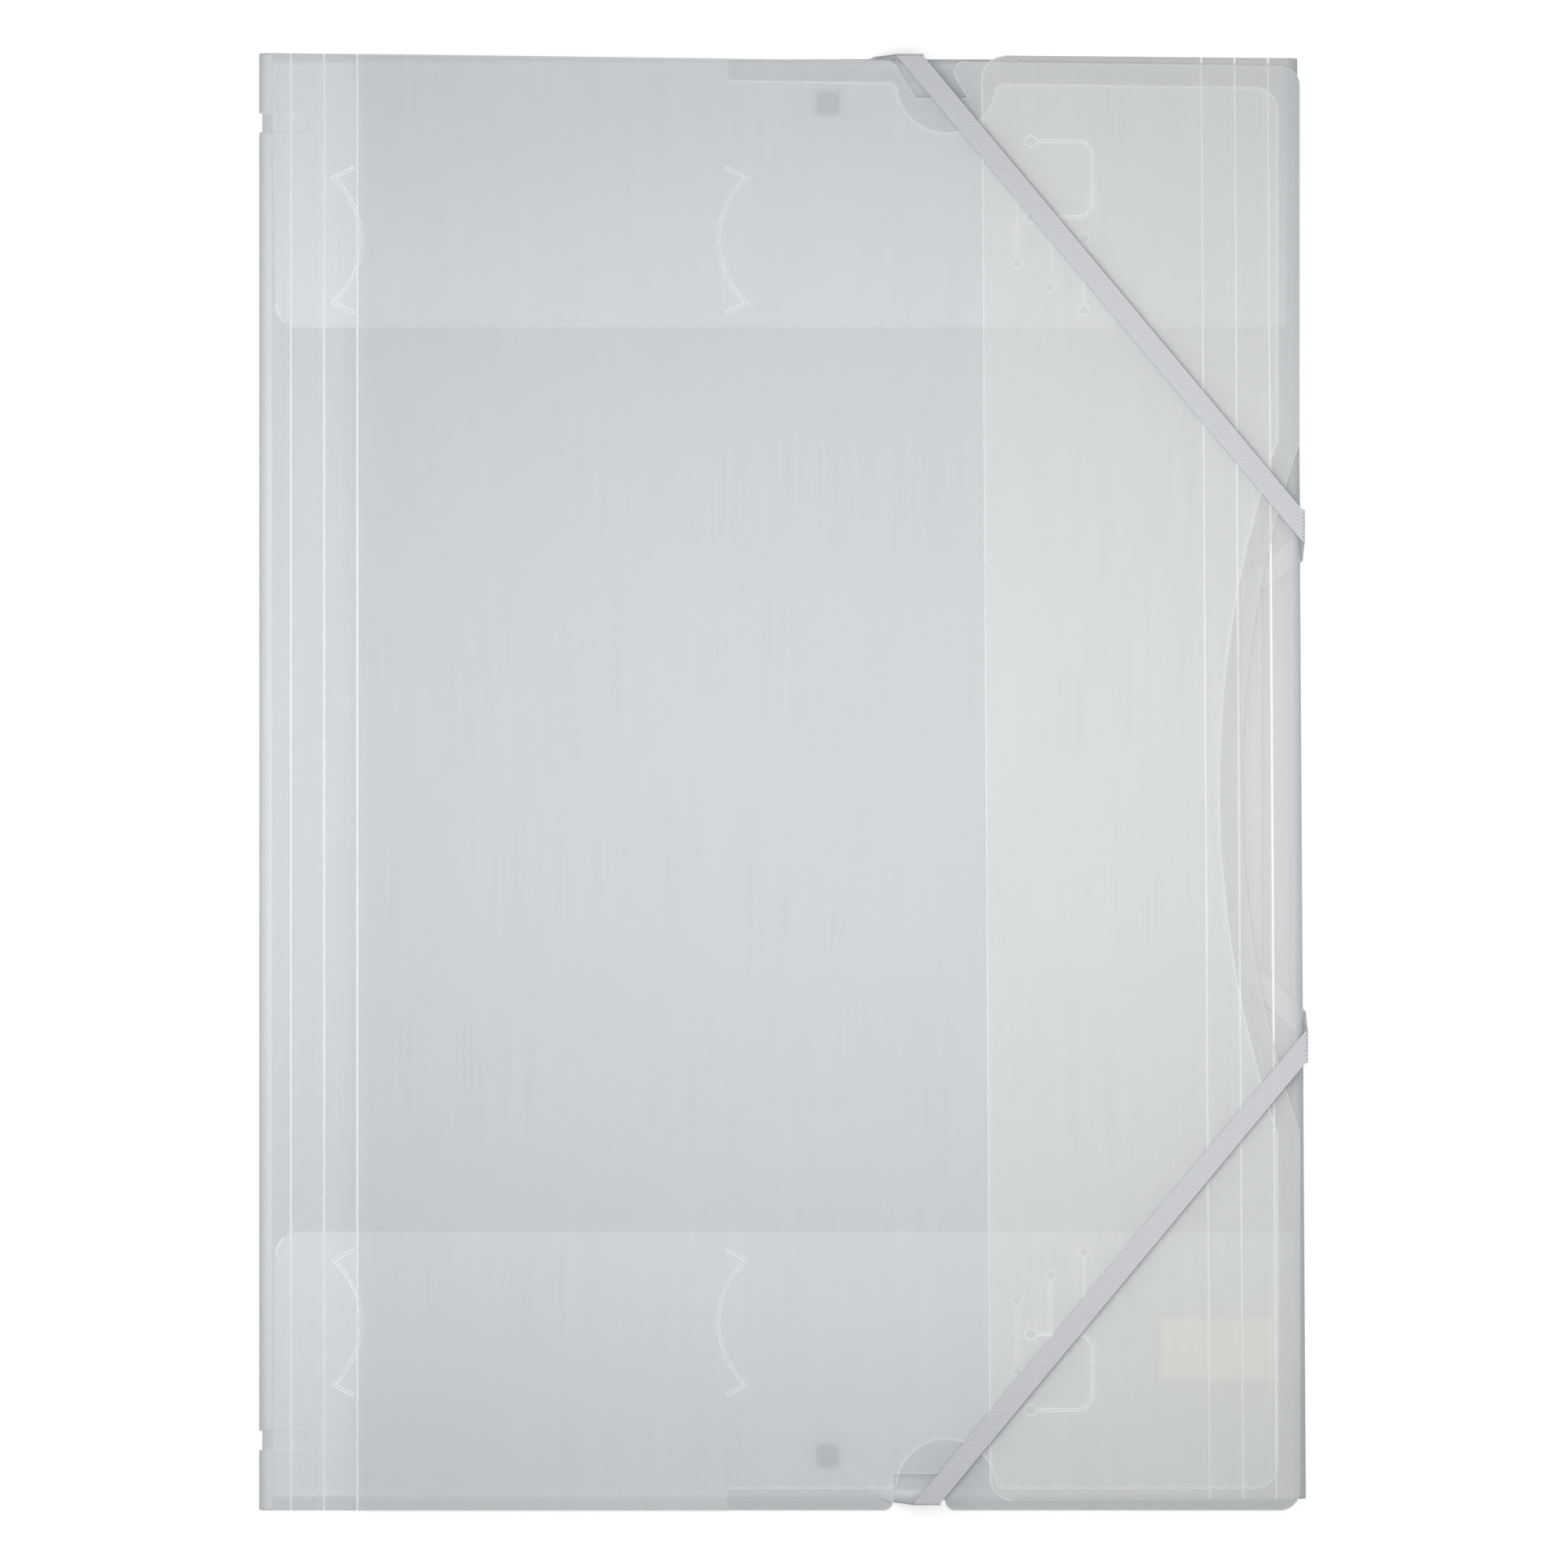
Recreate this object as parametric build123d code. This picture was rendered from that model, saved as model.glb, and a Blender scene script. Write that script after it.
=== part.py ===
from build123d import *
import math
import os

# A flat three-flap document folder of clear frosted polypropylene with an elastic
# fastener, lying closed on its back. X runs from the spine to the free edge, Y up the
# page and Z up from the table. The origin is the middle of the folder on the table.

# Sheet and stack
sheet = 0.5
elastic_thick = 0.8
elastic_width = 6.1
paper_room = 4.6
layer_gap = 0.3
butt_gap = 0.3

# Back panel outline
width = 314.0
height = 434.0
side_lean = 2.6

# Creases that let the folder take more paper
strip = 10.0
spine_first = 9.8
side_first = 9.1
top_first = 8.8
bottom_first = 7.8
crease_width = 0.6
crease_depth = 0.15
crease_film = 0.2
crease_count = 3

# Cover, measured from the folder's outline
cover_over_top = 1.5
cover_drop = 3.9
cover_over_bottom = 2.8
cover_short = 0.8
cover_corner = 6.0
bay_half = 103.5
bay_depth = 17.6
bay_middle = -2.2

# Second ply on the cover
ply_margin = 6.6
ply_half = 172.7
ply_corner = 7.0
notch_inset = 107.1
notch_radius = 14.9
cover_notch_inset = 107.5
cover_notch_width = 15.5
cover_notch_depth = 11.0
cover_notch_slant = 6.8
cover_notch_corner = 3.0
ply_notch_corner = 2.5

# Top and bottom flaps
flap_depth = 81.0
flap_taper = 1.0
flap_corner = 7.3
flap_gap = 0.5

# Side flap and its two tuck tongues
side_flap_depth = 95.2
side_flap_rise = 1.4
side_flap_short = 0.6
side_flap_corner = 7.0
tongue_inset = 81.7
tongue_length = 18.8
tongue_width = 23.2
tongue_corner = 4.9
tongue_from_top = 36.4
tongue_from_bottom = 38.8
cut = 0.4
relief_hole = 3.0

# Slits that take the tongues
slit_inset = 85.7
slit_length = 21.8
slit_step = 7.1
slit_from_top = 50.8
slit_from_bottom = 49.8
slit_end = 2.6

# Crescent slits that hold a disc by its rim
disc_inset = 30.9
disc_span = 107.5
disc_sagitta = 8.4
disc_half = 18.8
disc_from_top = 54.7
disc_from_bottom = 53.6
hook_length = 6.5
hook_angle = 26.0

# Finger slots at the spine fold
slot_width = 6.0
slot_reach = 15.1
slot_from_top = 19.3
slot_from_bottom = 18.0

# Rivets
rivet_inset = 142.7
rivet_from_end = 13.0
head_radius = 4.2
head_thick = 0.4
shank_radius = 1.5
rivet_play = 0.05
washer_radius = 3.4
washer_thick = 0.4
clinch_radius = 2.3
clinch_height = 0.3
elastic_tail = 5.5

# Where the elastic crosses the edges: on the end edges, measured from the right edge,
# and on the right edge, measured from the end edges
top_front_inset = 117.9
bottom_front_inset = 112.8
end_shift = 5.8
side_front_top = 140.7
side_front_bottom = 136.6
side_shift = 5.5
back_run_inset = 14.9
back_run_end = 158.2

# Blank paper label on the back
label_inset = 25.0
label_from_bottom = 45.1
label_length = 35.0
label_height = 19.5
label_thick = 0.1

# Heights of the layers, from the table up
panel_z = elastic_thick
flap_z = panel_z + sheet + paper_room
side_z = flap_z + sheet + layer_gap
cover_z = side_z + sheet + layer_gap
ply_z = cover_z + sheet
front_z = ply_z + sheet + layer_gap
total_z = front_z + elastic_thick


def fold_radius(z):
    """Outer radius of the fold between the back panel and a sheet that lies at z."""
    return (z + sheet - panel_z) / 2


def fold_axis(z):
    """Height of the hinge line of the fold between the back panel and a sheet at z."""
    return (z + sheet + panel_z) / 2


spine_radius = fold_radius(cover_z)
side_radius = fold_radius(side_z)
end_radius = fold_radius(flap_z)
spine_x = -width / 2 + spine_radius
side_x = width / 2 - side_radius
end_y = height / 2 - end_radius
lean = math.degrees(math.atan2(side_lean, height))
crease_x = [-width / 2 + spine_first + strip * i for i in range(crease_count)]
cover_x = crease_x[-1] + crease_width / 2
cover_free_edge = width / 2 - cover_short
cover_top_spine = height / 2 + cover_over_top
cover_bottom = -height / 2 - cover_over_bottom
bay_radius = (bay_half**2 + bay_depth**2) / (2 * bay_depth)
bay_x = cover_free_edge - bay_depth + bay_radius
notch_x = width / 2 - notch_inset
flap_left = spine_x + flap_gap
side_flap_top = height / 2
side_flap_bottom = side_flap_short - height / 2
rivet_x = width / 2 - rivet_inset
rivet_y = height / 2 - rivet_from_end
slots = [height / 2 - slot_from_top, slot_from_bottom - height / 2]


def plate(points, z, thick=sheet):
    """A flat plate with straight sides, its lower face at z."""
    return extrude(Plane.XY.offset(z) * make_face(Polyline(*points, close=True)), thick)


def nearest(face, places):
    """The corners of a face that lie nearest to some places."""
    return [face.vertices().sort_by_distance((x, y, 0))[0] for x, y in places]


def rounded(points, z, corners, radius, thick=sheet):
    """A flat plate with the named corners rounded."""
    face = make_face(Polyline(*points, close=True))
    return extrude(Plane.XY.offset(z) * fillet(nearest(face, corners), radius), thick)


def through(face, x, y, turn=0.0):
    """A cutter of one outline through every layer, at a place and turned."""
    return extrude(Pos(x, y, -total_z) * (Rot(0, 0, turn) * face), 3 * total_z)


def half_tube(z, length):
    """A fold: half a tube along Y that bulges to -X, its hinge line on X = 0."""
    outer = fold_radius(z)
    ring = Circle(outer) - Circle(outer - sheet)
    half = ring & (Pos(-outer, 0) * Rectangle(2 * outer, 4 * outer))
    tube = extrude(Plane.XZ * half, length / 2, both=True)
    return Pos(0, 0, fold_axis(z)) * tube


def edge_x(y):
    """The outline's right edge, which leans a little from top to bottom."""
    return width / 2 - y * side_lean / height


def cover_top(x):
    """The cover's top edge, which drops from the spine to the free edge."""
    return cover_top_spine - cover_drop * (x + width / 2) / (cover_free_edge + width / 2)


def on_side(solid):
    """Put a piece made along the Y axis onto the leaning right fold."""
    return Pos(side_x, 0, 0) * (Rot(0, 0, lean) * solid)


# Back panel
def back_panel():
    right = [side_x - y * side_lean / height for y in (end_y, -end_y)]
    corners = [(spine_x, end_y), (right[0], end_y), (right[1], -end_y), (spine_x, -end_y)]
    panel = plate(corners, panel_z)
    for y in slots:
        slot = SlotOverall(2 * slot_reach, slot_width)
        panel -= through(slot, -width / 2, y)
    for y in (rivet_y, -rivet_y):
        panel -= through(Circle(shank_radius + rivet_play), rivet_x, y)
    return panel


# Folds
def spine_fold():
    length = cover_top_spine - cover_bottom
    fold = Pos(spine_x, (cover_top_spine + cover_bottom) / 2, 0) * half_tube(cover_z, length)
    for y in slots:
        high = cover_z - sheet
        low = Box(4 * spine_radius, slot_width, high)
        fold -= Pos(spine_x, y, high / 2) * low
    return fold


def side_fold():
    length = side_flap_top - side_flap_bottom
    fold = Pos(0, (side_flap_top + side_flap_bottom) / 2, 0) * mirror(
        half_tube(side_z, length), Plane.YZ
    )
    return on_side(fold)


def end_right(sign):
    """Right end of the top or bottom flap, clear of the side fold."""
    return side_x - sign * end_y * side_lean / height - butt_gap


def end_fold(sign):
    """The top fold, or with sign -1 the bottom fold."""
    length = end_right(sign) - flap_left
    tube = Rot(0, 0, -90) * half_tube(flap_z, length)
    if sign < 0:
        tube = Rot(0, 0, 180) * tube
    return Pos((end_right(sign) + flap_left) / 2, sign * end_y, 0) * tube


# Cuts in the top and bottom flaps
def tongue_slits(y, sign):
    """Three slits with round ends, one for each thickness of the filled folder."""
    cuts = []
    for i in range(crease_count):
        x = width / 2 - slit_inset + strip * i
        middle = y - sign * slit_step * i
        cuts.append(through(SlotOverall(slit_length, cut), x, middle, 90))
        for end in (-1, 1):
            cuts.append(through(Circle(slit_end / 2), x, middle + end * slit_length / 2))
    return cuts


def disc_slit(x, y, side):
    """A crescent slit with a hooked tip at each end; side 1 bulges to the right."""
    radius = (disc_half**2 + disc_sagitta**2) / (2 * disc_sagitta)
    middle = x - side * radius
    tip_x = x - side * disc_sagitta
    arc = ThreePointArc((tip_x, y - disc_half), (x, y), (tip_x, y + disc_half))
    cuts = [extrude(Pos(0, 0, -total_z) * SlotArc(arc, cut), 3 * total_z)]
    for end in (-1, 1):
        turn = end * side * hook_angle
        dx = side * hook_length / 2 * math.cos(math.radians(hook_angle))
        dy = end * hook_length / 2 * math.sin(math.radians(hook_angle))
        hook = SlotOverall(hook_length + cut, cut)
        cuts.append(through(hook, tip_x + dx, y + end * disc_half + dy, turn))
    return cuts


def scored(solid, lines, z):
    """Press crease grooves into the upper face of a sheet; each is x, y, length, turn."""
    for x, y, length, turn in lines:
        groove = Box(length, crease_width, 2 * crease_depth)
        solid -= Pos(x, y, z + sheet) * (Rot(0, 0, turn) * groove)
    return solid


def end_flap(sign, first, slit_from_end, disc_from_end):
    """The top flap, or with sign -1 the bottom flap."""
    slit_y, disc_y = [sign * (height / 2 - d) for d in (slit_from_end, disc_from_end)]
    free = sign * (height / 2 - flap_depth)
    right = end_right(sign)
    corner = (flap_left + flap_taper, free)
    points = [(flap_left, sign * end_y), corner, (right, free), (right, sign * end_y)]
    flap = rounded(points, flap_z, [corner], flap_corner)
    flap -= tongue_slits(slit_y, sign)
    disc_x = disc_inset - width / 2
    flap -= disc_slit(disc_x, disc_y, 1)
    flap -= disc_slit(disc_x + disc_span, disc_y, -1)
    middle, length = (flap_left + right) / 2, right - flap_left + strip
    rows = [sign * (height / 2 - first - strip * i) for i in range(crease_count)]
    return scored(flap, [(middle, y, length, 0) for y in rows], flap_z)


# Side flap
def tongue_cut(y):
    """The cut round three sides of a tuck tongue, and a relief hole at each root."""
    length, wide = tongue_length + tongue_corner, tongue_width
    outer = RectangleRounded(length, wide, tongue_corner)
    inner = RectangleRounded(length - 2 * cut, wide - 2 * cut, tongue_corner - cut)
    root = width / 2 - tongue_inset
    tip = root + tongue_length
    keep = Pos(tip - tongue_length / 2, y) * Rectangle(tongue_length, wide)
    ring = (Pos(tip - length / 2, y) * (outer - inner)) & keep
    cuts = [extrude(Pos(0, 0, -total_z) * ring, 3 * total_z)]
    for end in (-1, 1):
        root_y = y + end * (wide - cut) / 2
        cuts.append(through(Circle(relief_hole / 2), root, root_y))
    return cuts


def side_flap():
    free = side_radius - side_flap_depth
    top, bottom = side_flap_top, side_flap_bottom
    corners = [(free, top + side_flap_rise), (free, bottom)]
    points = [(0, top), corners[0], corners[1], (0, bottom)]
    flap = rounded(points, side_z, corners, side_flap_corner)
    columns = [side_radius - side_first - strip * i for i in range(crease_count)]
    middle, length = (top + bottom) / 2, top - bottom + strip
    flap = scored(flap, [(x, middle, length, 90) for x in columns], side_z)
    flap = on_side(flap)
    for y in (height / 2 - tongue_from_top, tongue_from_bottom - height / 2):
        flap -= tongue_cut(y)
    return flap


# Spine strips and the creases between them
def spine_strip(i):
    starts = [spine_x] + [x + crease_width / 2 for x in crease_x]
    left, right = starts[i], crease_x[i] - crease_width / 2
    points = [
        (left, cover_bottom),
        (right, cover_bottom),
        (right, cover_top(right)),
        (left, cover_top(left)),
    ]
    return plate(points, cover_z)


def crease(i):
    left, right = crease_x[i] - crease_width / 2, crease_x[i] + crease_width / 2
    points = [
        (left, cover_bottom),
        (right, cover_bottom),
        (right, cover_top(right)),
        (left, cover_top(left)),
    ]
    return plate(points, cover_z + sheet - crease_film, crease_film)


# Cover and the second ply welded on its face
def cover_notch(y, sign, slant):
    """Outline of the notch that the elastic drops into, in the top or bottom edge."""
    right = width / 2 - cover_notch_inset
    left = right - cover_notch_width
    depth = sign * cover_notch_depth
    return [(left - slant, y + depth), (right - slant, y + depth),
            (right + slant, y - depth), (left + slant, y - depth)]


def front_cover():
    free, top = cover_free_edge, cover_top(cover_free_edge)
    outer = [(free, top), (free, cover_bottom)]
    points = [(cover_x, cover_top(cover_x)), outer[0], outer[1], (cover_x, cover_bottom)]
    face = make_face(Polyline(*points, close=True))
    right = width / 2 - cover_notch_inset
    mouth = []
    for y, sign, slant in ((cover_top(right), 1, cover_notch_slant), (cover_bottom, -1, 0)):
        face -= make_face(Polyline(*cover_notch(y, sign, slant), close=True))
        mouth += [(right - cover_notch_width, y), (right, y)]
    face = fillet(nearest(face, outer), cover_corner)
    face = fillet(nearest(face, mouth), cover_notch_corner)
    cover = extrude(Plane.XY.offset(cover_z) * face, sheet)
    return cover - through(Circle(bay_radius), bay_x, bay_middle)


def cover_ply():
    free = cover_free_edge - ply_margin
    ply_step = width / 2 - ply_half
    low = cover_bottom + ply_margin
    top_left = cover_top(ply_step) - ply_margin
    top_right = cover_top(free) - ply_margin
    corners = [(free, top_right), (free, low)]
    points = [
        (cover_x, cover_top(cover_x)),
        (ply_step, cover_top(ply_step)),
        (ply_step, top_left),
        corners[0],
        corners[1],
        (ply_step, low),
        (ply_step, cover_bottom),
        (cover_x, cover_bottom),
    ]
    face = make_face(Polyline(*points, close=True))
    mouth = []
    for y in (cover_top(notch_x) - ply_margin, low):
        face -= Pos(notch_x, y) * Circle(notch_radius)
        mouth += [(notch_x - notch_radius, y), (notch_x + notch_radius, y)]
    face = fillet(nearest(face, corners), ply_corner)
    face = fillet(nearest(face, mouth), ply_notch_corner)
    ply = extrude(Plane.XY.offset(ply_z) * face, sheet)
    return ply - through(Circle(bay_radius + ply_margin), bay_x, bay_middle)


# Rivets
def rivet(y):
    head = Cylinder(head_radius, head_thick, align=(Align.CENTER, Align.CENTER, Align.MIN))
    reach = panel_z + sheet + washer_thick
    up = (Align.CENTER, Align.CENTER, Align.MIN)
    shank = Cylinder(shank_radius, reach, align=up)
    clinch = Pos(0, 0, reach) * Cylinder(clinch_radius, clinch_height, align=up)
    return Pos(rivet_x, y, 0) * (head + shank + clinch)


def washer(y):
    up = (Align.CENTER, Align.CENTER, Align.MIN)
    ring = Cylinder(washer_radius, washer_thick, align=up)
    ring -= Cylinder(shank_radius + rivet_play, 3 * washer_thick)
    return Pos(rivet_x, y, panel_z + sheet) * ring


# Elastic
def half_on_edge(run, along):
    """Half the width that a slanting band takes up along an edge."""
    return elastic_width / 2 * math.hypot(run, along) / run


def edge_y(sign):
    """Outer face of the elastic where it passes round the top or bottom fold."""
    return sign * (height / 2 + layer_gap + elastic_thick)


def side_face(y):
    """Outer face of the elastic where it passes round the leaning right fold."""
    return edge_x(y) + layer_gap + elastic_thick


def back_run(sign, front_inset):
    """The stretch on the back from a rivet to the top or bottom edge."""
    y, edge_at = sign * rivet_y, width / 2 - front_inset - end_shift
    rise, run = edge_y(sign) - y, edge_at - rivet_x
    long = math.hypot(rise, run)
    ux, uy = run / long, rise / long
    half, wide = elastic_width / 2, half_on_edge(abs(rise), run)
    tail_x, tail_y = rivet_x - ux * elastic_tail, y - uy * elastic_tail
    points = [
        (tail_x + uy * half, tail_y - ux * half),
        (edge_at + sign * wide, edge_y(sign)),
        (edge_at - sign * wide, edge_y(sign)),
        (tail_x - uy * half, tail_y + ux * half),
    ]
    band = plate(points, 0, elastic_thick)
    band -= through(Circle(shank_radius + rivet_play), rivet_x, y)
    pocket = Cylinder(head_radius + rivet_play, 2 * (head_thick + rivet_play))
    return band - Pos(rivet_x, y, 0) * pocket


def back_side_run():
    """The stretch behind the right edge, between the two corner loops."""
    inner = width / 2 - back_run_inset
    knee = height / 2 - back_run_end
    half = elastic_width / 2
    points = [(inner - half, -knee - half / 2), (inner - half, knee + half / 2)]
    for sign, front in ((1, side_front_top), (-1, side_front_bottom)):
        back = sign * (height / 2 - front - side_shift)
        wide = half_on_edge(side_face(back) - inner, abs(back) - knee)
        ends = [(side_face(back + s * wide), back + s * wide) for s in (sign, -sign)]
        bend = [(inner + half, sign * (knee - half / 2))]
        points += (ends + bend)[::sign] if sign > 0 else bend + ends[::-1]
    return plate(points, 0, elastic_thick)


def strap(back, back_half, front, front_half, plane):
    """The band where it stands round an edge, from its back place to its front place."""
    points = [
        (back - back_half, elastic_thick),
        (back + back_half, elastic_thick),
        (front + front_half, front_z),
        (front - front_half, front_z),
    ]
    return extrude(plane * make_face(Polyline(*points, close=True)), elastic_thick / 2, both=True)


def corner_loop(sign, front_inset, front_from_end):
    """One corner loop: up round the end edge, across the face, down round the side."""
    end, front_x = edge_y(sign), width / 2 - front_inset
    front_y = sign * (height / 2 - front_from_end)
    back_x, back_y = front_x - end_shift, front_y - sign * side_shift
    side = side_face(front_y)
    rise, run = abs(end - front_y), side - front_x
    half_x, half_y = half_on_edge(rise, run), half_on_edge(run, rise)
    far_y, near_y = front_y + sign * half_y, front_y - sign * half_y
    points = [
        (front_x - half_x, end),
        (front_x + half_x, end),
        (side_face(far_y), far_y),
        (side_face(near_y), near_y),
    ]
    diagonal = plate(points, front_z, elastic_thick)
    back_half_x = half_on_edge(abs(end) - rivet_y, back_x - rivet_x)
    inner = width / 2 - back_run_inset
    knee = sign * (height / 2 - back_run_end)
    back_half_y = half_on_edge(side - inner, abs(back_y - knee))
    over_end = strap(back_x, back_half_x, front_x, half_x, Plane.XZ)
    over_end = Pos(0, end - sign * elastic_thick / 2, 0) * over_end
    middle = (front_y + back_y) / 2
    over_side = strap(back_y - middle, back_half_y, front_y - middle, half_y, Plane.YZ)
    over_side = Rot(0, 0, lean) * (Pos(-elastic_thick / 2, 0, 0) * over_side)
    return diagonal + over_end + Pos(side_face(middle), middle, 0) * over_side


def label():
    box = Box(label_length, label_height, label_thick)
    x, y = width / 2 - label_inset, label_from_bottom - height / 2
    return Pos(x, y, panel_z - label_thick / 2) * box


parts = {
    "back_panel": back_panel(),
    "spine_fold": spine_fold(),
    "side_fold": side_fold(),
    "top_fold": end_fold(1),
    "bottom_fold": end_fold(-1),
    "top_flap": end_flap(1, top_first, slit_from_top, disc_from_top),
    "bottom_flap": end_flap(-1, bottom_first, slit_from_bottom, disc_from_bottom),
    "side_flap": side_flap(),
    "front_cover": front_cover(),
    "cover_ply": cover_ply(),
    "top_rivet": rivet(rivet_y),
    "bottom_rivet": rivet(-rivet_y),
    "top_washer": washer(rivet_y),
    "bottom_washer": washer(-rivet_y),
    "elastic_back_top": back_run(1, top_front_inset),
    "elastic_back_bottom": back_run(-1, bottom_front_inset),
    "elastic_back_side": back_side_run(),
    "elastic_corner_top": corner_loop(1, top_front_inset, side_front_top),
    "elastic_corner_bottom": corner_loop(-1, bottom_front_inset, side_front_bottom),
    "label": label(),
}
for i in range(crease_count):
    parts[f"spine_strip_{i + 1}"] = spine_strip(i)
    parts[f"spine_crease_{i + 1}"] = crease(i)

os.makedirs("parts", exist_ok=True)
for name, solid in parts.items():
    export_step(solid, f"parts/{name}.step")

print("spine hinge x, z:", spine_x, fold_axis(cover_z))
print("side hinge x, z, lean:", side_x, fold_axis(side_z), lean)
print("crease x:", crease_x, "z:", cover_z + sheet)
print("paper room z:", panel_z + sheet, flap_z, "end y:", end_y)
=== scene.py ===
# An A3 document folder of clear frosted polypropylene, closed and lying on its back,
# with a flat elastic round two corners. Lengths are in millimetres until MM turns
# them into Blender's metres.
import math

import bpy
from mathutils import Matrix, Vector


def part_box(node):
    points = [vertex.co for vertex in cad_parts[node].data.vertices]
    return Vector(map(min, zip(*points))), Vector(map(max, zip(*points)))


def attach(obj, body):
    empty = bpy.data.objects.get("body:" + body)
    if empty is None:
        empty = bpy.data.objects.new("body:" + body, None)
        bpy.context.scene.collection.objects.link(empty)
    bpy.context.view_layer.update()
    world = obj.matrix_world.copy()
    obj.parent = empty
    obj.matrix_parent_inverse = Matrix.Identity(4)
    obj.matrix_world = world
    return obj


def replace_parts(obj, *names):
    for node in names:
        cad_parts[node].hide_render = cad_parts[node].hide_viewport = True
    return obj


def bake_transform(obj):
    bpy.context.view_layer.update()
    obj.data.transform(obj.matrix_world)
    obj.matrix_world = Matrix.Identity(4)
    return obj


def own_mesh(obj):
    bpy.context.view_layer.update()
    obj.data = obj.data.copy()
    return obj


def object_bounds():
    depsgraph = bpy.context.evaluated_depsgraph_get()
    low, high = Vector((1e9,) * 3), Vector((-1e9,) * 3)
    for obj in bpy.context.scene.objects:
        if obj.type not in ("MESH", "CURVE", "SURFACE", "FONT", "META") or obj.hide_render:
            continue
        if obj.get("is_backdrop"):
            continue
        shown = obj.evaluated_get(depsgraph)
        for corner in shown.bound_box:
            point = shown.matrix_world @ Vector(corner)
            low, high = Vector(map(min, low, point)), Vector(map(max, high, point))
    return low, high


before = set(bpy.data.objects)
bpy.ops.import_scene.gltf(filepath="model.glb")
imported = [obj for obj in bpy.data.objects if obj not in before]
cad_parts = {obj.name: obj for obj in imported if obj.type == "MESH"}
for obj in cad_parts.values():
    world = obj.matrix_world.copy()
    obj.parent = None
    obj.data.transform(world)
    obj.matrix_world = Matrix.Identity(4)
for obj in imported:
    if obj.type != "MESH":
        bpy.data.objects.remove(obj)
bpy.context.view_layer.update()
MM = 0.001

# Back panel.
# The middle of the one die-cut sheet: 0.5 mm extruded polypropylene, frosted on both
# faces, with two finger slots punched at the spine fold and a hole for each rivet.
WALL = 0.5
SKIN = 0.02  # left free over each face, so that no two sheets share one
FACES_FROM = 0.24  # a sheet's two faces lie further than this from its middle
# A crease is pressed into the upper face. Its floor and its sides lie between these
# heights over the sheet's middle.
GROOVE_FLOOR = 0.092
GROOVE_BRIM = 0.22
RIM = 0.25  # how far a cut's bright rim reaches over each face
SHOULDER = 0.5  # the share of a cut's wall that stays upright under its rounding
PANEL_END_X = 152.2  # past these the sheet goes on as its folds
PANEL_END_Y = 213.6
# The real streaks are about 0.2 mm apart, too fine to show in the render, so they are
# drawn coarser.
STREAKS_APART = 0.7
STREAK_LENGTH = 60
STREAK_DEPTH = 0.9
RIVET_X = 14.3
RIVET_Y = 204
# How far the painted shadow round each rivet reaches each way.
RIVET_SHADOW_REACH = 3.6
LABEL_MIDDLE = (132, -171.9)
LABEL_REACH = (17.5, 9.75)
BLUR = 1.6  # the frosting spreads what touches the sheet this far each way
bpy.ops.object.select_all(action="DESELECT")


def linear(colour):
    """An sRGB hex colour as linear red, green, blue and a full alpha."""
    parts = [int(colour[i : i + 2], 16) / 255 for i in (1, 3, 5)]
    return [p / 12.92 if p <= 0.04045 else ((p + 0.055) / 1.055) ** 2.4 for p in parts] + [1]


def add(material, kind, settings=None, sockets=None):
    """Adds a node to a material, with its settings and with its sockets set or linked."""
    tree = material.node_tree
    node = tree.nodes.new(kind)
    for name, value in (settings or {}).items():
        setattr(node, name, value)
    for name, value in (sockets or {}).items():
        if isinstance(value, bpy.types.NodeSocket):
            tree.links.new(value, node.inputs[name])
        else:
            node.inputs[name].default_value = value
    return node


def new_material(name):
    """A material with no nodes yet."""
    material = bpy.data.materials.new(name)
    material.use_nodes = True
    material.node_tree.nodes.clear()
    return material


def finished(material, shader):
    """The material with its shader as its surface."""
    add(material, "ShaderNodeOutputMaterial", sockets={"Surface": shader.outputs[0]})
    return material


def soft_patch(material, place, middle, reach):
    """1 inside a rectangle and 0 outside it, with a blurred border."""
    apart = add(material, "ShaderNodeVectorMath", {"operation": "SUBTRACT"}, {
        0: place, 1: [m * MM for m in middle] + [0]})
    size = add(material, "ShaderNodeVectorMath", {"operation": "ABSOLUTE"}, {0: apart.outputs[0]})
    axes = add(material, "ShaderNodeSeparateXYZ", sockets={0: size.outputs[0]})
    sides = [
        add(material, "ShaderNodeMapRange", {"interpolation_type": "SMOOTHSTEP"}, {
            "Value": axes.outputs[i], "From Min": (reach[i] + BLUR) * MM,
            "From Max": (reach[i] - BLUR) * MM})
        for i in (0, 1)
    ]
    return add(material, "ShaderNodeMath", {"operation": "MULTIPLY"}, {
        0: sides[0].outputs[0], 1: sides[1].outputs[0]}).outputs[0]


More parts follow.
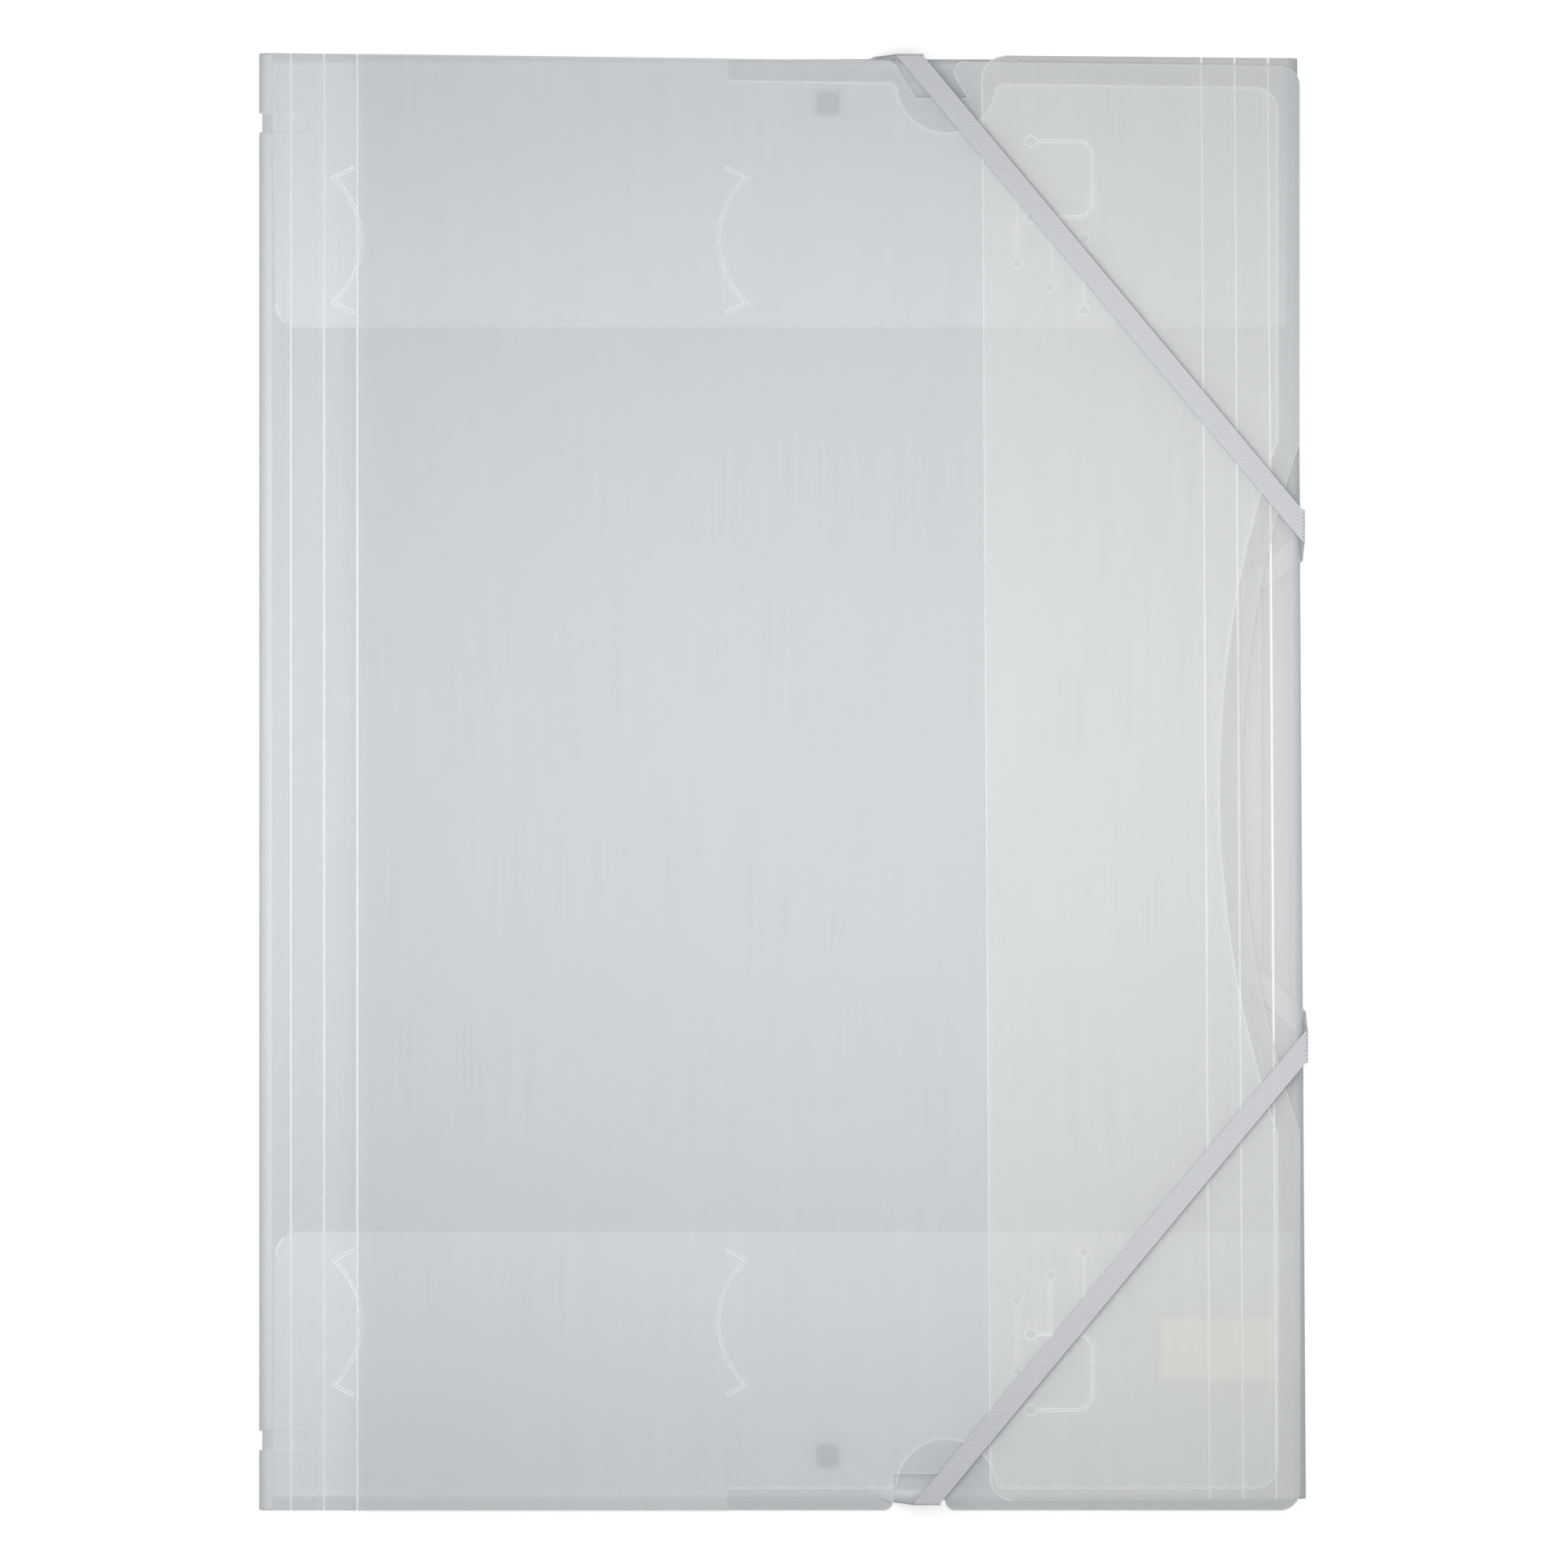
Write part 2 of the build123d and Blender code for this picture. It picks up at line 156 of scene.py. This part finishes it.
def polypropylene(name, pale, deep, hiding, roughness=0.46, painted_glow=0.0, behind=()):
    """Extruded polypropylene sheet. The chill roll leaves fine streaks along the
    sheet's length, and the frosting scatters most of the light. hiding is the share
    that it hides of what is behind it. The glow argument is painted light: an emission
    that stands in for the light coming out at a cut after running inside the sheet.
    behind lists patches painted where things touch its back: the blurred colour of what
    shows through, or painted shadow."""
    material = new_material(name)
    place = add(material, "ShaderNodeTexCoord").outputs["Object"]
    streaks = add(material, "ShaderNodeMapping", sockets={
        "Vector": place, "Scale": (
            1 / (STREAKS_APART * MM), 1 / (STREAK_LENGTH * MM), 1 / (STREAK_DEPTH * MM))})
    streak = add(material, "ShaderNodeTexNoise", sockets={
        "Vector": streaks.outputs[0], "Scale": 1.0, "Detail": 2.0, "Roughness": 0.75})
    tone = add(material, "ShaderNodeMapRange", sockets={
        "Value": streak.outputs["Fac"], "From Min": 0.25, "From Max": 0.75})
    colour = add(material, "ShaderNodeMix", {"data_type": "RGBA"}, {
        0: tone.outputs[0], 6: linear(deep), 7: linear(pale)}).outputs[2]
    for middle, reach, shade, share in behind:
        patch = soft_patch(material, place, middle, reach)
        colour = add(material, "ShaderNodeMix", {"data_type": "RGBA"}, {
            0: patch, 6: colour, 7: linear(shade)}).outputs[2]
        hiding = add(material, "ShaderNodeMath", {"operation": "MULTIPLY_ADD"}, {
            0: patch, 1: share, 2: hiding}).outputs[0]
    return finished(material, add(material, "ShaderNodeBsdfPrincipled", sockets={
        "Base Color": colour, "Roughness": roughness, "IOR": 1.49,
        "Specular IOR Level": 0.35, "Alpha": hiding,
        "Emission Color": linear(pale), "Emission Strength": painted_glow}))


frosted = polypropylene("frosted_polypropylene_sheet", "#F8FAFB", "#ECEFF0", 0.22)
# Where the sheet is bent or handled most its surface is milkier and lets less through.
milky = polypropylene("milky_polypropylene_sheet", "#F8FAFB", "#ECEFF1", 0.26)
# A sheared edge is whiter than the face, and it gathers the light that runs inside the sheet, so
# its white line is partly its own colour and partly painted highlight.
cut_edge = polypropylene("polypropylene_cut_edge", "#FCFDFD", "#F5F7F7", 0.7, 0.35)
# What touches the panel's outside shows through it blurred, because the frosting
# scatters the light: the label as a warm patch of its own colour, and each rivet as a
# dark spot that is painted shadow round the rivet.
label_behind = (LABEL_MIDDLE, LABEL_REACH, "#FFEFD2", 0.66)
rivet_shadows_behind = [
    ((RIVET_X, y), (RIVET_SHADOW_REACH, RIVET_SHADOW_REACH), "#1E2224", 0.8) for y in (RIVET_Y, -RIVET_Y)]
# The panel is the same plastic as the flaps and cover, painted a shade darker: painted shade for
# the bottom of the stack.
panel_sheet = polypropylene(
    "frosted_polypropylene_panel", "#EEF0F1", "#E4E7E8", 0.2,
    behind=[label_behind, *rivet_shadows_behind])


def pick(piece, wanted):
    """Selects the faces of a piece that pass a test on their middle and normal."""
    for thing in (piece.data.vertices, piece.data.edges):
        thing.foreach_set("select", [False] * len(thing))
    for face in piece.data.polygons:
        face.select = bool(wanted(face.center / MM, face.normal))


def copy_of(node, name):
    """A copy of a solid's mesh under its own name, with its loose triangles merged."""
    piece = bpy.data.objects.new(name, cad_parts[node].data.copy())
    bpy.context.scene.collection.objects.link(piece)
    bpy.ops.object.select_all(action="DESELECT")
    bpy.context.view_layer.objects.active = piece
    piece.select_set(True)
    bpy.ops.object.mode_set(mode="EDIT")
    bpy.ops.mesh.select_mode(type="FACE")
    bpy.ops.mesh.select_all(action="SELECT")
    bpy.ops.mesh.remove_doubles(threshold=0.001 * MM)
    bpy.ops.object.mode_set(mode="OBJECT")
    piece.data.materials.clear()
    for polygon in piece.data.polygons:
        polygon.use_smooth = False
    return piece


def flat_sheet(node, name, continues, face=frosted, edge=cut_edge, pressed_in=milky):
    """A sheet with a rounded rim along every edge, slit and hole, drawn as a white line that
    is partly the cut's own whiter colour and partly painted highlight. continues says
    where an edge isn't seen, such as where the sheet goes on in a fold."""
    piece = copy_of(node, name)
    low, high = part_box(node)
    middle = (low.z + high.z) / 2 / MM
    for material in (face, edge, pressed_in):
        piece.data.materials.append(material)
    in_face, in_edge, in_crease = range(3)

    def corners(polygon):
        places = [piece.data.vertices[i].co / MM for i in polygon.vertices]
        return {(round(p.x, 2), round(p.y, 2)) for p in places}

    def in_groove(at):
        return GROOVE_FLOOR < at.z - middle < GROOVE_BRIM

    pressed = set()
    for polygon in piece.data.polygons:
        if in_groove(polygon.center / MM):
            pressed |= corners(polygon)
    pick(piece, lambda at, normal: abs(at.z - middle) > FACES_FROM)
    bpy.ops.object.mode_set(mode="EDIT")
    bpy.ops.mesh.inset(thickness=RIM * MM, depth=0, use_even_offset=True)
    piece.active_material_index = in_face
    bpy.ops.object.material_slot_assign()
    bpy.ops.mesh.select_all(action="INVERT")
    piece.active_material_index = in_edge
    bpy.ops.object.material_slot_assign()
    bpy.ops.object.mode_set(mode="OBJECT")
    # The inset also draws a rim beside each crease, where no cut gathers the light.
    for polygon in piece.data.polygons:
        at = polygon.center / MM
        if in_groove(at):
            polygon.material_index = in_crease
        elif continues(at) or len(corners(polygon) & pressed) > 1:
            polygon.material_index = in_face
    # Each cut's wall is made less high, which rounds the cut, and then the whole sheet
    # is made thinner by the skin that is left free over both faces.
    pick(piece, lambda at, normal: abs(at.z - middle) < GROOVE_FLOOR and abs(normal.z) < 0.5)
    centre = (0, 0, middle * MM)
    bpy.ops.object.mode_set(mode="EDIT")
    bpy.ops.transform.resize(value=(1, 1, SHOULDER), center_override=centre)
    bpy.ops.mesh.select_all(action="SELECT")
    bpy.ops.transform.resize(value=(1, 1, 1 - 2 * SKIN / WALL), center_override=centre)
    bpy.ops.object.mode_set(mode="OBJECT")
    # Frosted sheet passes most of its light on, so only the outer two cast a shadow.
    piece.visible_shadow = node in ("back_panel", "front_cover")
    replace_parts(piece, node)
    return piece


panel = flat_sheet(
    "back_panel", "panel_sheet",
    lambda at: abs(at.y) > PANEL_END_Y or abs(at.x) > PANEL_END_X, face=panel_sheet)
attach(panel, "back")

# Top and bottom flaps.
# They fold in over the paper at both ends, each with three pressed creases for a
# thicker stack, two crescent slits that grip a disc, and three slits for the tongues.
FLAP_FREE_EDGE_Y = 138
FLAP_RIGHT_END_X = 145
# A slit in a flap is painted even brighter than an edge, with a painted glow that stands in for
# the light both its sides give it.
glowing_slit_edge = polypropylene("polypropylene_slit_edge", "#FFFFFF", "#FAFBFB", 0.95, 0.35, 0.15)


def coat(node, material):
    """Gives a solid that is kept as it is its material."""
    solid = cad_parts[node]
    solid.data.materials.clear()
    solid.data.materials.append(material)
    return solid


for end in ("top", "bottom"):
    flap = flat_sheet(
        f"{end}_flap", f"{end}_flap_sheet",
        lambda at: not FLAP_FREE_EDGE_Y < abs(at.y) < PANEL_END_Y or at.x > FLAP_RIGHT_END_X,
        edge=glowing_slit_edge)
    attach(flap, "back")
    coat(f"{end}_fold", frosted).visible_shadow = False

# Side flap.
# The widest flap folds in from the right over the other two. Two tuck tongues with
# round relief holes are cut in it, and three creases run along its fold.
SIDE_FLAP_END_X = 151.8
# It lies over the label and the paper's edge, and looks a shade warmer than the rest.
warm_sheet = polypropylene("frosted_polypropylene_flap", "#F8F7F4", "#ECEBE7", 0.21)
# Pressing a crease stretches the plastic, which turns it milky and nearly opaque.
creased = polypropylene("stress_whitened_crease", "#FFFFFF", "#FAFBFB", 0.95, 0.38)
side_sheet = flat_sheet(
    "side_flap", "side_flap_sheet", lambda at: at.x > SIDE_FLAP_END_X,
    face=warm_sheet, edge=glowing_slit_edge, pressed_in=creased)
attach(side_sheet, "side_flap")

# Folds.
# The spine fold and the side fold are living hinges: the sheet itself, bent once and
# pressed, so each one is a half round that opens and closes on the real folder. Here
# each is copied as it lies, closed.
for node, child, low_z, high_z, x in (
    ("spine_fold", "spine_1", 1.05, 7.75, -153.4),
    ("side_fold", "side_flap", 1.05, 6.95, 153.8),
):
    hinge = copy_of(node, f"{node}_sheet")
    hinge.data.materials.append(milky)
    # Only the side fold's strip is darker in the photograph, so only it casts a shadow.
    hinge.visible_shadow = node == "side_fold"
    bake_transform(hinge)
    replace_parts(hinge, node)

# Spine.
# Three strips of the same sheet between full-height creases, which let the spine
# take the thickness of the paper. Each crease is pressed thin and has turned white.
CREASES = [-147.2, -137.2, -127.2]
BEAD_HALF = 0.3  # half of a crease's width
BEAD_WALL = 0.18
BEAD_RISE = 0.07  # how far its middle stands over its sides
BEAD_SUNK = 0.04  # how far its sides lie under the strips' faces
BEAD_SHORT = 0.1  # how much shorter it is than the strips
BEND_Z = 8  # the height at which it bends
for i, x in enumerate(CREASES):
    coat(f"spine_strip_{i + 1}", milky).visible_shadow = False
    low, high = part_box(f"spine_crease_{i + 1}")
    bpy.ops.object.select_all(action="DESELECT")
    bpy.ops.mesh.primitive_grid_add(
        x_subdivisions=8, y_subdivisions=1, size=1, location=(0, 0, 0))
    bead = bpy.context.object
    bead.name = f"spine_crease_bead_{i + 1}"
    bpy.ops.object.mode_set(mode="EDIT")
    bpy.ops.transform.resize(value=(2 * BEAD_HALF * MM, high.y - low.y - BEAD_SHORT * MM, 1))
    bpy.ops.transform.translate(
        value=(x * MM, (high.y + low.y) / 2, high.z - BEAD_SUNK * MM))
    bpy.ops.object.mode_set(mode="OBJECT")
    for vertex in bead.data.vertices:
        across = (vertex.co.x / MM - x) / BEAD_HALF
        vertex.co.z += BEAD_RISE * MM * (1 - across * across)
    thick = bead.modifiers.new("wall", "SOLIDIFY")
    thick.thickness = BEAD_WALL * MM
    thick.offset = -1
    bpy.ops.object.modifier_apply(modifier="wall")
    bead.data.materials.append(creased)
    bead.visible_shadow = False
    end = ((x + BEAD_HALF) * MM, 0, BEND_Z * MM)
    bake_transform(bead)
    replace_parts(bead, f"spine_crease_{i + 1}")

# Front cover and its second ply.
# The cover lies over everything, with a long finger bay in its free edge and a notch
# for the elastic at each end. The second ply is welded on its face, a little smaller.
COVER_END_X = -126.4
PLY_END_X = -15.5
# Nothing lies over the cover to shade it, so the same plastic is painted whiter here than in the
# sheets under it: painted light. It also looks crisper.
lit_cover_sheet = polypropylene("frosted_polypropylene_cover", "#FCFEFF", "#EEF0F1", 0.24)
# The ply is welded face to face, which wets out half of its frosting, so it is clearer. It has
# the cover's colours, painted lighter in the same way.
clear_sheet = polypropylene("clear_polypropylene_ply", "#FCFEFF", "#EEF0F1", 0.1)
cover = flat_sheet(
    "front_cover", "cover_sheet", lambda at: at.x < COVER_END_X, face=lit_cover_sheet)
ply = flat_sheet(
    "cover_ply", "cover_ply_sheet", lambda at: at.x < PLY_END_X, face=clear_sheet)
for sheet in (cover, ply):
    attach(sheet, "cover")

# Rivets and washers.
# Two aluminium tubular rivets hold the elastic's ends to the panel. Their heads are on
# the back and their ends are rolled over a washer inside.
ROUNDING = 0.12
GRAIN = 0.5  # the marks of tumbling are finer, too fine to show, so these are coarser
# Tumbled aluminium is dull, and it mirrors little but the dim underside of the folder.
# Its colour is painted a dark grey, far darker than bare aluminium: painted shade, so
# that the rivets show as the darkest spots.
aluminium = new_material("satin_aluminium_painted_shade")
place = add(aluminium, "ShaderNodeTexCoord").outputs["Object"]
grain = add(aluminium, "ShaderNodeTexNoise", sockets={
    "Vector": place, "Scale": 1 / (GRAIN * MM), "Detail": 3.0})
dull = add(aluminium, "ShaderNodeMapRange", sockets={
    "Value": grain.outputs["Fac"], "To Min": 0.32, "To Max": 0.5})
finished(aluminium, add(aluminium, "ShaderNodeBsdfPrincipled", sockets={
    "Base Color": linear("#3C4042"), "Metallic": 1.0, "Roughness": dull.outputs[0]}))
for end in ("top", "bottom"):
    for part in ("rivet", "washer"):
        metal = copy_of(f"{end}_{part}", f"{end}_{part}_metal")
        rounding = metal.modifiers.new("rounding", "BEVEL")
        rounding.width = ROUNDING * MM
        rounding.segments = 3
        rounding.angle_limit = math.radians(40)
        bpy.ops.object.modifier_apply(modifier="rounding")
        bpy.ops.object.shade_smooth_by_angle(angle=math.radians(35))
        metal.data.materials.append(aluminium)
        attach(metal, "back")
        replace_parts(metal, f"{end}_{part}")

# Elastic.
# One flat braided elastic, 6 mm wide with eight ribs, goes from rivet to rivet: behind
# the panel, round an edge, across a corner of the face and round again, twice.
THICK = 0.8
HALF = 3.05  # half of the band's width
RIBS = 8
RIB_RISE = 0.16
PER_RIB = 6  # strips of the mesh in each rib
YARN = 0.35  # the real fuzz is about 0.1 mm, too fine to show, so it is drawn coarser
TOTAL = 9.6  # the folder's thickness, with the band over and under it
END_Y = 218.1  # where the band's outer face is at the top and bottom edges
SIDE_X = 157  # where the free edge is half-way up
LEAN = 2.6 / 434  # how much that edge leans
PROUD = 1.1  # how far the band stands out from it
NEARER_X, NEARER_Y = 5.8, 5.5  # behind the panel the band is nearer to the middle
# Half of what the band takes up along an edge, which it crosses at a slant.
LOOP_AT_END, LOOP_AT_SIDE, RUN_AT_END = 4.6, 4.9, 5.1
INNER_X = 142.1  # the side run's straight middle part, and the knees at its ends
KNEE_Y = 58.8
KNEE_SLANT = 1.5
# Beside the rivet its head presses the band thin. These are places along the run from
# the rivet, each with how far the band's outer face is off the table there.
PRESSED = ((-5.5, 0.42), (4.6, 0.42), (7.0, 0.02), (9.0, 0.0))


def braid(name, pale, deep):
    """Polyester braided over rubber threads, with the yarn's soft fuzz."""
    material = new_material(name)
    place = add(material, "ShaderNodeTexCoord").outputs["Object"]
    fuzz = add(material, "ShaderNodeTexNoise", sockets={
        "Vector": place, "Scale": 1 / (YARN * MM), "Detail": 3.0})
    colour = add(material, "ShaderNodeMix", {"data_type": "RGBA"}, {
        0: fuzz.outputs["Fac"], 6: linear(deep), 7: linear(pale)})
    bump = add(material, "ShaderNodeBump", sockets={
        "Strength": 0.3, "Distance": 0.1 * MM, "Height": fuzz.outputs["Fac"]})
    return finished(material, add(material, "ShaderNodeBsdfPrincipled", sockets={
        "Base Color": colour.outputs[2], "Roughness": 0.75, "Sheen Weight": 0.15,
        "Normal": bump.outputs[0]}))


elastic = braid("braided_elastic", "#EFF0F2", "#DEDFE3")
# Between the rubber threads the braid is thinner, and its darker colour there is painted shade
# for the groove.
shaded_groove = braid("braided_elastic_groove_shade", "#D6D7DB", "#C4C5CA")


def band(name, stations):
    """A ribbed elastic band. Each station has the two ends of its outer face, the way
    that face looks, and the band's thickness there."""
    across = RIBS * PER_RIB
    columns = 2 * across + 2
    bpy.ops.object.select_all(action="DESELECT")
    bpy.ops.mesh.primitive_grid_add(
        x_subdivisions=columns, y_subdivisions=len(stations) - 1, size=1, location=(0, 0, 0))
    piece = bpy.context.object
    piece.name = name
    points = piece.data.vertices
    for row, (first, last, out, thick) in enumerate(stations):
        size = math.hypot(*out)
        out = [o / size for o in out]
        for column in range(columns + 1):
            around = column % columns
            inner = around > across
            share = (columns - 1 - around if inner else around) / across
            swell = RIB_RISE * abs(math.sin(math.pi * RIBS * share)) ** 0.5
            depth = thick - RIB_RISE + swell if inner else RIB_RISE - swell
            point = points[row * (columns + 1) + column]
            point.co = [
                (a + (b - a) * share - o * depth) * MM for a, b, o in zip(first, last, out)
            ]
    piece.data.materials.append(elastic)
    piece.data.materials.append(shaded_groove)
    # The faces beside each groove take the painted groove shade.
    for face in piece.data.polygons:
        strip = face.index % columns % (across + 1)
        face.material_index = int(strip % PER_RIB in (0, PER_RIB - 1))
    bpy.ops.object.mode_set(mode="EDIT")
    bpy.ops.mesh.select_mode(type="EDGE")
    bpy.ops.mesh.select_all(action="SELECT")
    bpy.ops.mesh.remove_doubles(threshold=0.001 * MM)
    bpy.ops.mesh.select_all(action="DESELECT")
    bpy.ops.mesh.select_non_manifold()
    bpy.ops.mesh.fill()
    bpy.ops.mesh.select_all(action="SELECT")
    bpy.ops.mesh.normals_make_consistent(inside=False)
    bpy.ops.object.mode_set(mode="OBJECT")
    bpy.ops.object.shade_smooth_by_angle(angle=math.radians(60))
    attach(piece, "back")
    return piece


def round_edge(angle):
    """How far in and how high the band's outer face is, part of the way round an edge."""
    return THICK * (1 - math.cos(angle)), TOTAL - THICK * (1 - math.sin(angle))


down = (0, 0, -1)
side_run = []
# front_x and front_y are where the band's middle crosses the face's two edges.
for end, sign, front_x, front_y in (("top", 1, 39.1, 76.3), ("bottom", -1, 44.2, -80.4)):
    edge = END_Y * sign
    side = SIDE_X - front_y * LEAN + PROUD
    back_x, back_y = front_x - NEARER_X, front_y - NEARER_Y * sign
    slope = math.hypot(side - front_x, edge - front_y)
    half_x = HALF * slope / abs(edge - front_y)
    half_y = HALF * slope / (side - front_x) * sign
    out = (0, sign, 0)
    loop = [
        ((back_x - LOOP_AT_END, edge, THICK), (back_x + LOOP_AT_END, edge, THICK), out, THICK),
        ((front_x - half_x, edge, TOTAL - THICK), (front_x + half_x, edge, TOTAL - THICK),
         out, THICK),
    ]
    for angle in (math.pi / 4, math.pi / 2):
        inwards, z = round_edge(angle)
        y = edge - sign * inwards
        out = (0, sign * math.cos(angle), math.sin(angle))
        loop.append(((front_x - half_x, y, z), (front_x + half_x, y, z), out, THICK))
    for angle in (math.pi / 2, math.pi / 4, 0):
        inwards, z = round_edge(angle)
        x = side - inwards
        out = (math.cos(angle), 0, math.sin(angle))
        loop.append(((x, front_y - half_y, z), (x, front_y + half_y, z), out, THICK))
    half = LOOP_AT_SIDE * sign
    loop.append(((side, back_y - half, THICK), (side, back_y + half, THICK), (1, 0, 0), THICK))
    corner = band(f"elastic_loop_{end}", loop)
    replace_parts(corner, f"elastic_corner_{end}")
    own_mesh(corner)

    rivet_y = RIVET_Y * sign
    run_x, run_y = back_x - RIVET_X, edge - rivet_y
    length = math.hypot(run_x, run_y)
    ux, uy = run_x / length, run_y / length
    run = []
    for along, z in PRESSED:
        x, y = RIVET_X + ux * along, rivet_y + uy * along
        left = (x - abs(uy) * HALF, y + ux * HALF * sign, z)
        right = (x + abs(uy) * HALF, y - ux * HALF * sign, z)
        run.append((left, right, down, THICK - z))
    run.append(((back_x - RUN_AT_END, edge, 0), (back_x + RUN_AT_END, edge, 0), down, THICK))
    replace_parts(band(f"elastic_run_{end}", run), f"elastic_back_{end}")

    # The side run goes from the top corner to a knee, and from the other knee to the
    # bottom corner, so the bottom half is added the other way round.
    knee, slant = KNEE_Y * sign, KNEE_SLANT * sign
    half_run = [
        ((side, back_y - half, 0), (side, back_y + half, 0), down, THICK),
        ((INNER_X + HALF, knee - slant, 0), (INNER_X - HALF, knee + slant, 0), down, THICK),
    ]
    side_run += half_run[::sign]
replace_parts(band("elastic_run_side", side_run), "elastic_back_side")

# Label.
# A small blank paper label, stuck on the outside of the back panel near the corner.
CLOUD = 0.8
# Uncoated paper is matt, and its fibres lie in clouds that make its warm white uneven.
paper = new_material("matt_label_paper")
place = add(paper, "ShaderNodeTexCoord").outputs["Object"]
clouds = add(paper, "ShaderNodeTexNoise", sockets={
    "Vector": place, "Scale": 1 / (CLOUD * MM), "Detail": 4.0})
colour = add(paper, "ShaderNodeMix", {"data_type": "RGBA"}, {
    0: clouds.outputs["Fac"], 6: linear("#F0DFC2"), 7: linear("#F8EBD4")})
finished(paper, add(paper, "ShaderNodeBsdfPrincipled", sockets={
    "Base Color": colour.outputs[2], "Roughness": 0.8}))
coat("label", paper)

# Table, light and camera.
# The folder lies on a plain table under one soft lamp. The table shows white where it
# is seen directly, and grey through the sheets, as in the photograph.
TABLE_SIDE = 6000
TABLE_DROP = 0.2
TABLE_GLOW = 0.65  # what the lit grey lacks to be white
LAMP_SIZE = (600, 350)
LAMP_PLACE = (20, 10, 420)
VIEW_MIDDLE = (1.1, -1.34, 8)
VIEW_SIDE = 471.4
bpy.ops.object.select_all(action="DESELECT")
bpy.ops.mesh.primitive_plane_add(size=TABLE_SIDE * MM, location=(0, 0, -TABLE_DROP * MM))
table = bpy.context.object
table.name = "table"
table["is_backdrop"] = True


def shows_white(owner, path, looked_at):
    """1 where a ray comes to show something, straight, mirrored or through clear
    plastic, and 0 where it comes to light something."""
    mirrored = add(owner, "ShaderNodeMath", {"operation": "MAXIMUM"}, {
        0: looked_at, 1: path.outputs["Is Glossy Ray"]})
    return add(owner, "ShaderNodeMath", {"operation": "MAXIMUM"}, {
        0: mirrored.outputs[0], 1: path.outputs["Is Transmission Ray"]}).outputs[0]


# Painted board: a plain matt grey, which glows up to white only where it is shown.
tabletop = new_material("table_top")
path = add(tabletop, "ShaderNodeLightPath")
bare = add(tabletop, "ShaderNodeMath", {"operation": "LESS_THAN"}, {
    0: path.outputs["Transparent Depth"], 1: 0.5})
seen = add(tabletop, "ShaderNodeMath", {"operation": "MULTIPLY"}, {
    0: bare.outputs[0], 1: path.outputs["Is Camera Ray"]})
level = add(tabletop, "ShaderNodeMath", {"operation": "MULTIPLY"}, {
    0: shows_white(tabletop, path, seen.outputs[0]), 1: TABLE_GLOW})
glow = add(tabletop, "ShaderNodeEmission", sockets={"Strength": level.outputs[0]})
matt = add(tabletop, "ShaderNodeBsdfDiffuse", sockets={"Color": linear("#D0D2D4")})
table.data.materials.append(finished(tabletop, add(tabletop, "ShaderNodeAddShader", sockets={
    0: matt.outputs[0], 1: glow.outputs[0]})))

# The room gives a little light from all sides, and shows white where it is seen.
room = bpy.data.worlds.new("room")
room.use_nodes = True
path = add(room, "ShaderNodeLightPath")
level = add(room, "ShaderNodeMapRange", sockets={
    "Value": shows_white(room, path, path.outputs["Is Camera Ray"]),
    "To Min": 0.25, "To Max": 1.0})
background = room.node_tree.nodes["Background"]
background.inputs["Color"].default_value = linear("#F4F6F8")
room.node_tree.links.new(level.outputs[0], background.inputs["Strength"])
bpy.context.scene.world = room

lamp = bpy.data.lights.new("softbox", "AREA")
lamp.shape = "RECTANGLE"
lamp.size, lamp.size_y = [size * MM for size in LAMP_SIZE]
lamp.energy = 1.68
softbox = bpy.data.objects.new("softbox", lamp)
softbox.location = [at * MM for at in LAMP_PLACE]
softbox.visible_camera = False
bpy.context.scene.collection.objects.link(softbox)

# The camera looks straight down from far off. VIEW_SIDE is how much of the cover's
# plane the picture takes in.
lens = bpy.data.cameras.new("camera")
lens.lens = 150
lens.sensor_width = 36
view_x, view_y, view_z = VIEW_MIDDLE
height = VIEW_SIDE * lens.lens / lens.sensor_width
camera = bpy.data.objects.new("camera", lens)
camera.location = (view_x * MM, view_y * MM, (view_z + height) * MM)
bpy.context.scene.collection.objects.link(camera)
bpy.context.scene.camera = camera
bpy.context.scene.view_settings.view_transform = "Standard"
# Up to five sheets lie over each other, and a ray passes both faces of each one.
bpy.context.scene.cycles.transparent_max_bounces = 32

low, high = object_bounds()
